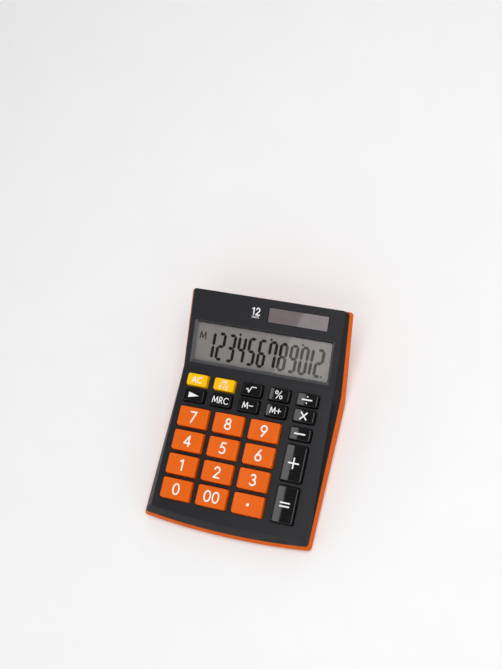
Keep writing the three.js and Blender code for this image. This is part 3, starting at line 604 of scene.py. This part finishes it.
def solar_film(name, colour, middle_x, cell_pitch):
    """Amorphous solar film under glass: its strips run up the window, parted by fine dark lines."""
    paint = Paint(name, Specular_IOR_Level=0.1, Coat_Weight=1.0, Coat_Roughness=0.03)
    across = paint.add("ShaderNodeSeparateXYZ", {"Vector": paint.place}).outputs["X"]
    strips = paint.math("DIVIDE", paint.math("SUBTRACT", across, middle_x), cell_pitch)
    line_distance = paint.math("ABSOLUTE", paint.math("SUBTRACT", paint.math("FRACT", strips), 0.5))
    parting = paint.ramp(line_distance, (0.478, 0.0), (0.492, 1.0))
    shade = paint.ramp(paint.noise(8 * MM, 4), (0.3, scaled(colour, 0.94)), (0.7, scaled(colour, 1.06)))
    partings = paint.math("MULTIPLY", parting, 0.15)
    paint.join(paint.mix(partings, shade, scaled(colour, 0.5)), "Base Color")
    paint.join(paint.ramp(paint.noise(2 * MM, 4), (0.3, 0.25), (0.7, 0.36)), "Roughness")
    paint.join(paint.bump(paint.noise(0.3 * MM, 2), 0.002 * MM, 0.4), "Normal")
    return paint.material


def circuit_board(name):
    """Green solder mask with copper tracks under it and a fine weave."""
    paint = Paint(name)
    tracks = paint.add("ShaderNodeTexBrick", {
        "Vector": paint.place, "Scale": 1 / (6 * MM), "Mortar Size": 0.03,
        "Color1": (0.012, 0.10, 0.035, 1), "Color2": (0.014, 0.12, 0.04, 1),
        "Mortar": (0.04, 0.22, 0.07, 1),
    })
    dirt = paint.noise(3 * MM, 4)
    paint.join(paint.mix(paint.math("MULTIPLY", dirt, 0.3), tracks.outputs["Color"], (0.01, 0.07, 0.03)),
               "Base Color")
    paint.join(paint.ramp(dirt, (0.3, 0.28), (0.7, 0.42)), "Roughness")
    paint.join(paint.bump(tracks.outputs["Fac"], 0.03 * MM, 0.6), "Normal")
    return paint.material


def metal(name, colour, stretch):
    """Drawn or turned metal: fine lines in one direction, tarnish and brighter edges."""
    paint = Paint(name, Metallic=1.0)
    lines = paint.noise(0.08 * MM, 3, 0.6, stretch)
    tarnish = paint.noise(2 * MM, 4)
    worn = paint.edges(0.2 * MM)
    base = paint.ramp(tarnish, (0.3, scaled(colour, 0.85)), (0.7, scaled(colour, 1.05)))
    paint.join(paint.mix(paint.math("MULTIPLY", worn, 0.5), base, scaled(colour, 1.3)), "Base Color")
    paint.join(paint.ramp(lines, (0.3, 0.22), (0.7, 0.42)), "Roughness")
    paint.join(paint.bump(lines, 0.004 * MM, 0.6), "Normal")
    return paint.material


DISPLAY_SEAT = Seat("display_window")
SOLAR_SEAT = Seat("solar_window")
SOLAR_WIDTH = SOLAR_SEAT.size_at(SOLAR_SEAT.levels[-1]).x
SOLAR_STRIPS = 5
PAINTS = {
    "charcoal_shell": moulded(
        "charcoal_shell", (0.0095, 0.0095, 0.0125), (0.38, 0.48), Specular_IOR_Level=0.3,
    ),
    # Painted shade: the flank is the same moulding as the deck, painted darker and given weaker
    # reflection.
    "flank_painted_shade": moulded(
        "flank_painted_shade", (0.0045, 0.0042, 0.0042), (0.3, 0.42), depth=0.004 * MM, wear=0.2,
        Specular_IOR_Level=0.08,
    ),
    # Painted highlight: the display's frame is the same moulding as the deck, painted paler and bluer
    # and given stronger, glossier reflection.
    "frame_painted_highlight": moulded(
        "frame_painted_highlight", (0.013, 0.014, 0.018), (0.2, 0.3), grain=0.6 * MM, depth=0.003 * MM,
        Specular_IOR_Level=1.0,
    ),
    "orange_shell": moulded(
        "orange_shell", (0.62, 0.10, 0.0008), (0.42, 0.55), Specular_IOR_Level=0.08,
    ),
    "orange_key": moulded(
        "orange_key", (0.76, 0.118, 0.001), (0.38, 0.48), grain=0.3 * MM, depth=0.006 * MM,
        Specular_IOR_Level=0.2,
    ),
    "yellow_key": moulded(
        "yellow_key", (0.95, 0.5, 0.0005), (0.38, 0.48), grain=0.3 * MM, depth=0.006 * MM,
        Specular_IOR_Level=0.15,
    ),
    "black_key": black_gloss("black_key"),
    "clear_window": clear_plate("clear_window", (0.97, 0.97, 0.97)),
    "display_glass": display_glass("display_glass"),
    "solar_cell": solar_film(
        "solar_cell", (0.155, 0.126, 0.131), SOLAR_SEAT.centre.x, SOLAR_WIDTH / SOLAR_STRIPS,
    ),
    "white_plastic": moulded("white_plastic", (0.78, 0.77, 0.72), (0.45, 0.6)),
    "silicone": moulded(
        "silicone", (0.46, 0.48, 0.50), (0.55, 0.7), grain=0.2 * MM, depth=0.01 * MM, wear=0.2,
    ),
    "board": circuit_board("board"),
    "epoxy": moulded(
        "epoxy", (0.01, 0.01, 0.011), (0.25, 0.4), grain=1.5 * MM, depth=0.03 * MM, wear=0.2,
    ),
    "ribbon": moulded(
        "ribbon", (0.55, 0.27, 0.04), (0.3, 0.45), grain=0.5 * MM, depth=0.01 * MM, wear=0.3,
    ),
    "steel": metal("steel", (0.56, 0.57, 0.59), (1, 1, 0.1)),
    "brass": metal("brass", (0.62, 0.43, 0.13), (0.1, 1, 1)),
    "foot_rubber": moulded(
        "foot_rubber", (0.014, 0.014, 0.014), (0.7, 0.88), grain=0.25 * MM, depth=0.03 * MM, wear=0.6,
        Specular_IOR_Level=0.25,
    ),
}
WHITE_INK = printed("white_ink", (0.88, 0.88, 0.87))
SEGMENT_INK = liquid_ink("segment_ink")


# ---- Keys ----------------------------------------------------------------------------------------
def key_slot(label):
    if label in ("ac", "on_clear_entry"):
        return "yellow_key"
    return "orange_key" if label == "point" or label.isdigit() else "black_key"


def dish(x, width):
    """How far a key's top lies under its rim, at a distance from its middle."""
    return KEY_DISH * max(0.0, 1 - (2 * x / width) ** 2)


def cap_rings(seat):
    """Rings of a moulded cap: stem and flange as in the frame, a filleted rim and a hollow top."""
    stem_low, flange_low, flange_high, deck, shoulder, top = seat.levels
    stem, flange, neck, brow, crown = (
        seat.size_at(level) for level in (stem_low, flange_low, deck, shoulder, top)
    )
    plan = [(stem, stem_low), (stem, flange_low), (flange, flange_low), (flange, flange_high),
            (neck, flange_high), (neck, deck), (brow, shoulder)]
    rings = [
        [seat.place(p.x, p.y, height) for p in rounded_ring(size.x, size.y, KEY_CORNER)]
        for size, height in plan
    ]
    inset = (brow.x - crown.x) / 2
    for step in range(1, FILLET_STEPS + 1):
        angle = math.pi / 2 * step / FILLET_STEPS
        shrink = 2 * inset * (1 - math.cos(angle))
        ring = []
        for p in rounded_ring(brow.x - shrink, brow.y - shrink, KEY_CORNER - shrink / 2):
            rise = (top - shoulder - dish(p.x, crown.x)) * math.sin(angle)
            ring.append(seat.place(p.x, p.y, shoulder + rise))
        rings.append(ring)
    rim = rounded_ring(crown.x, crown.y, KEY_CORNER - inset)
    for share in CROWN_SHARES:
        rings.append([
            seat.place(p.x * share, p.y * share, top - dish(p.x * share, crown.x)) for p in rim
        ])
    return rings


def key_cap(node, label):
    """A key's cap and its legend, which ride on the key's own body."""
    seat = Seat(node)
    slot = key_slot(label)
    body = f"{node}_cap"
    cap = piece(f"{node}_moulding", *lofted(cap_rings(seat)), PAINTS[slot], body, slot)
    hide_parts(node)
    top = seat.levels[-1]
    width = seat.size_at(top).x

    def surface(x, y, lift):
        return seat.place(x, y, top - dish(x, width) + lift)

    heap = Heap()
    lift = 0
    for glyphs, height, stroke, rise in LEGENDS.get(label, []):
        lift = write_row(heap, glyphs, height * MM, stroke * MM, rise * MM, surface, lift)
    if label == "backspace":
        ink_plate(heap, [Vector(point) * MM for point in ARROW], surface)
    piece(f"{node}_legend", heap.vertices, heap.faces, WHITE_INK, body, slot)
    if label == "5":
        touch_mark(surface, body, slot)


def touch_mark(surface, body, slot):
    """The faint raised disc that lets a finger find the middle key."""
    centre_x = 5.6 * MM
    radius = 2.7 * MM
    height = 0.16 * MM
    profile = ((1, -0.2), (1, 0.15), (0.96, 0.6), (0.86, 0.9), (0.7, 1), (0.3, 1))
    sides = 32
    rings = []
    for share, rise in profile:
        ring = []
        for i in range(sides):
            angle = 2 * math.pi * i / sides
            x = centre_x + radius * share * math.cos(angle)
            ring.append(surface(x, radius * share * math.sin(angle), height * rise))
        rings.append(ring)
    piece("key_5_touch_mark", *lofted(rings), PAINTS[slot], body, slot)


# ---- Display -------------------------------------------------------------------------------------
SEGMENTS = {
    "0": "abcdef", "1": "ef", "2": "abdeg", "3": "abcdg", "4": "bcfg",
    "5": "acdfg", "6": "acdefg", "7": "abcf", "8": "abcdefg", "9": "abcdfg",
}
# Ends of each segment, as shares of a digit's width and height.
SEGMENT_ENDS = {
    "a": ((0, 1), (1, 1)), "b": ((1, 1), (1, 0.5)), "c": ((1, 0.5), (1, 0)), "d": ((1, 0), (0, 0)),
    "e": ((0, 0), (0, 0.5)), "f": ((0, 0.5), (0, 1)), "g": ((0, 0.5), (1, 0.5)),
}


def segment(heap, start, end, surface):
    """Adds one flat six-sided segment between two points."""
    along = (end - start).normalized()
    side = Vector((along.y, -along.x)) * SEGMENT_HALF
    tip = along * SEGMENT_GAP
    shoulder = along * (SEGMENT_GAP + SEGMENT_HALF)
    outline = [start + tip, start + shoulder + side, end - shoulder + side,
               end - tip, end - shoulder - side, start + shoulder - side]
    rings = [[surface(p.x, p.y, height) for p in outline] for height in (INK_LIFT, INK_LIFT + INK)]
    heap.add(*lofted(rings))


def display_digits():
    """Twelve slanted digits with their separators, and the small memory sign."""
    seat = Seat("display_glass")
    glass = seat.levels[-1]
    reading = "123456789012"
    group = 3
    heap = Heap()

    def surface(x, y, lift):
        return seat.place(x + y * DISPLAY_SLANT, y, glass + lift)

    left = FIRST_DIGIT
    base = -DIGIT_HEIGHT / 2 - DIGIT_DROP
    top = base + DIGIT_HEIGHT
    for place, figure in enumerate(reading):
        width = 0 if figure == "1" else DIGIT_WIDTH
        for name in SEGMENTS[figure]:
            start, end = (
                Vector((left + x * width, base + y * DIGIT_HEIGHT)) for x, y in SEGMENT_ENDS[name]
            )
            segment(heap, start, end, surface)
        if place and place % group == 0:
            high = Vector((left - 0.8 * MM, top + 3.3 * MM))
            low = Vector((left - 0.1 * MM, top + 0.6 * MM))
            segment(heap, high, low, surface)
        left += width + DIGIT_GAP
    point_x = left - DIGIT_GAP + 1.4 * MM
    segment(heap, Vector((point_x, base - 1.1 * MM)), Vector((point_x, base + 1.3 * MM)), surface)

    sign_x = FIRST_DIGIT - 10.4 * MM
    sign_y = top - 3.6 * MM
    sign_height = 6.6 * MM
    sign_stroke = 0.85 * MM
    write_row(
        heap, ["M"], sign_height, sign_stroke, sign_y,
        lambda x, y, lift: surface(x + sign_x, y, lift),
    )
    piece(
        "display_digits", heap.vertices, heap.faces, SEGMENT_INK, "case", "display_glass",
        smooth=False,
    )


def digits_mark():
    """The printed count of digits, beside the solar window."""
    deck = SOLAR_SEAT.levels[-1]
    centre_x = -SOLAR_WIDTH / 2 - 11.2 * MM
    heap = Heap()

    def surface(x, y, lift):
        return SOLAR_SEAT.place(x + centre_x, y, deck + lift)

    lift = write_row(heap, ["1", "2"], 6.3 * MM, 0.95 * MM, 1.2 * MM, surface)
    write_row(heap, list("DIGITS"), 1.7 * MM, 0.24 * MM, -3.5 * MM, surface, lift)
    piece("digits_mark", heap.vertices, heap.faces, WHITE_INK, "case", "charcoal_shell")


# ---- Shell ---------------------------------------------------------------------------------------
# The upper shell's paints: the deck's own charcoal, the flank's painted shade and the display frame's
# painted highlight.
DECK, SHADED_FLANK, HIGHLIT_FRAME = range(3)


def shell_painted_light_zone(face):
    """Which paint a face of the upper shell takes: the deck's, the flank's painted shade or the display
    frame's painted highlight.
    """
    seat = DISPLAY_SEAT
    across, up, out = seat.axes.transposed()
    middle = face.calc_center_median()
    opening = seat.size_at(seat.levels[-1]) / 2
    inside_x = abs(across.dot(middle) - seat.centre.x) < opening.x + FRAME_WIDTH
    inside_y = abs(up.dot(middle) - seat.centre.y) < opening.y + FRAME_WIDTH
    low, high = FRAME_SLOPES
    if inside_x and inside_y and low < out.dot(face.normal) < high:
        return HIGHLIT_FRAME
    return SHADED_FLANK if abs(face.normal.z) < FLANK_SLOPE else DECK


# ---- Pieces --------------------------------------------------------------------------------------
# The upper shell, with painted shade on its flank and a painted highlight on its display frame.
dressed(
    "upper_case", PAINTS["charcoal_shell"], SHELL_ROUND,
    more_paints=(PAINTS["flank_painted_shade"], PAINTS["frame_painted_highlight"]), part_of=shell_painted_light_zone,
)
dressed("lower_case", PAINTS["orange_shell"], SHELL_ROUND)
dressed("battery_door", PAINTS["orange_shell"], SMALL_ROUND)
dressed("display_window", PAINTS["clear_window"], FINE_ROUND, 2)
for name in sorted(NODES):
    if name.startswith("key_") and name != "key_mat":
        key_cap(name, name.removeprefix("key_"))
    elif name.startswith("foot_"):
        dressed(name, PAINTS["foot_rubber"], SMALL_ROUND)
    elif name.startswith("case_screw_"):
        dressed(name, PAINTS["steel"], FINE_ROUND, 2)
display_digits()
digits_mark()
dressed("solar_window", PAINTS["solar_cell"], FINE_ROUND, 2)

KEPT_NODES = {
    "display_glass": "display_glass",
    "display_holder": "white_plastic",
    "display_ribbon": "ribbon",
    "solar_cell": "solar_cell",
    "solar_leads": "ribbon",
    "cell_leads": "ribbon",
    "main_board": "board",
    "key_mat": "silicone",
    "processor": "epoxy",
    "button_cell": "steel",
    "cell_contact_negative": "brass",
    "cell_contact_positive": "brass",
}
for name, node in NODES.items():
    if name.startswith("board_screw_"):
        KEPT_NODES[name] = "steel"
    if name in KEPT_NODES:
        node.material_slots[0].material = PAINTS[KEPT_NODES[name]]


# ---- Floor, light and camera ---------------------------------------------------------------------
def make_floor():
    reach = 3.0
    height = CAD_BOX[0].z
    corners = [(x * reach, y * reach, height) for x, y in ((-1, -1), (1, -1), (1, 1), (-1, 1))]
    mesh = bpy.data.meshes.new("floor")
    mesh.from_pydata(corners, [], [(0, 1, 2, 3)])
    floor = bpy.data.objects.new("floor", mesh)
    bpy.context.scene.collection.objects.link(floor)
    paint = Paint("floor", Specular_IOR_Level=0.1)
    paper = paint.noise(60 * MM, 3)
    paint.join(paint.ramp(paper, (0.3, (0.885,) * 3), (0.7, (0.9,) * 3)), "Base Color")
    paint.join(paint.ramp(paper, (0.3, 0.75), (0.7, 0.85)), "Roughness")
    mesh.materials.append(paint.material)
    floor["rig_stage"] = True


def soft_box(name, centre, size, turn, radiance):
    """A rectangular light overhead, facing down, turned about Z."""
    lamp = bpy.data.lights.new(name, "AREA")
    lamp.shape = "RECTANGLE"
    lamp.size, lamp.size_y = size
    lamp.energy = radiance * math.pi * size[0] * size[1]
    made = bpy.data.objects.new(name, lamp)
    bpy.context.scene.collection.objects.link(made)
    made.location = centre
    made.rotation_euler = (0, 0, turn)


def make_lights():
    """Two soft boxes that the gloss mirrors: one in the dished keys, one in the flat windows."""
    height = 1.2
    soft_box("key_light", (0.28, 0.10, height), (0.94, 1.00), 0, 2.7)
    soft_box("display_light", (0.066, -0.831, height), (0.90, 0.46), math.radians(-22.8), 2.0)


def make_sky():
    """Even studio surroundings, pale near the horizon and dim overhead."""
    world = bpy.data.worlds.new("studio")
    bpy.context.scene.world = world
    world.use_nodes = True
    tree = world.node_tree
    tree.nodes.clear()
    direction = tree.nodes.new("ShaderNodeTexCoord")
    parts = tree.nodes.new("ShaderNodeSeparateXYZ")
    ramp = tree.nodes.new("ShaderNodeValToRGB")
    glow = tree.nodes.new("ShaderNodeBackground")
    out = tree.nodes.new("ShaderNodeOutputWorld")
    tree.links.new(direction.outputs["Generated"], parts.inputs["Vector"])
    tree.links.new(parts.outputs["Z"], ramp.inputs["Fac"])
    tree.links.new(ramp.outputs["Color"], glow.inputs["Color"])
    tree.links.new(glow.outputs["Background"], out.inputs["Surface"])
    # Each level is a share of the way from the horizon to straight up, and the sky's brightness there.
    levels = [(0.0, 1.25), (0.3, 1.25), (0.6, 0.75), (0.8, 0.16), (1.0, 0.14)]
    elements = ramp.color_ramp.elements
    while len(elements) < len(levels):
        elements.new(0.5)
    for element, (position, level) in zip(elements, levels):
        element.position = position
        element.color = (level, level, level, 1)


def make_camera():
    """The camera looks at a point on the deck from the front right, high above, rolled to its left."""
    aim = Vector((-15.9, 70.1, 25.0)) * MM
    distance = 0.8473
    azimuth, elevation, roll = (math.radians(a) for a in (43.25, 65.09, -30.97))
    back = Vector((
        math.sin(azimuth) * math.cos(elevation),
        -math.cos(azimuth) * math.cos(elevation),
        math.sin(elevation),
    ))
    data = bpy.data.cameras.new("camera")
    data.sensor_width = 36
    data.lens = 54.26
    data.clip_start = 0.01
    camera = bpy.data.objects.new("camera", data)
    bpy.context.scene.collection.objects.link(camera)
    turned = (-back).to_track_quat("-Z", "Y").to_matrix().to_4x4() @ Matrix.Rotation(roll, 4, "Z")
    camera.matrix_world = Matrix.Translation(aim + back * distance) @ turned
    bpy.context.scene.camera = camera


make_floor()
make_lights()
make_sky()
make_camera()
bpy.context.scene.view_settings.view_transform = "Standard"

boxes = {"cad": CAD_BOX, "visual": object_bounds()}
{name: [list(corner) for corner in box] for name, box in boxes.items()}
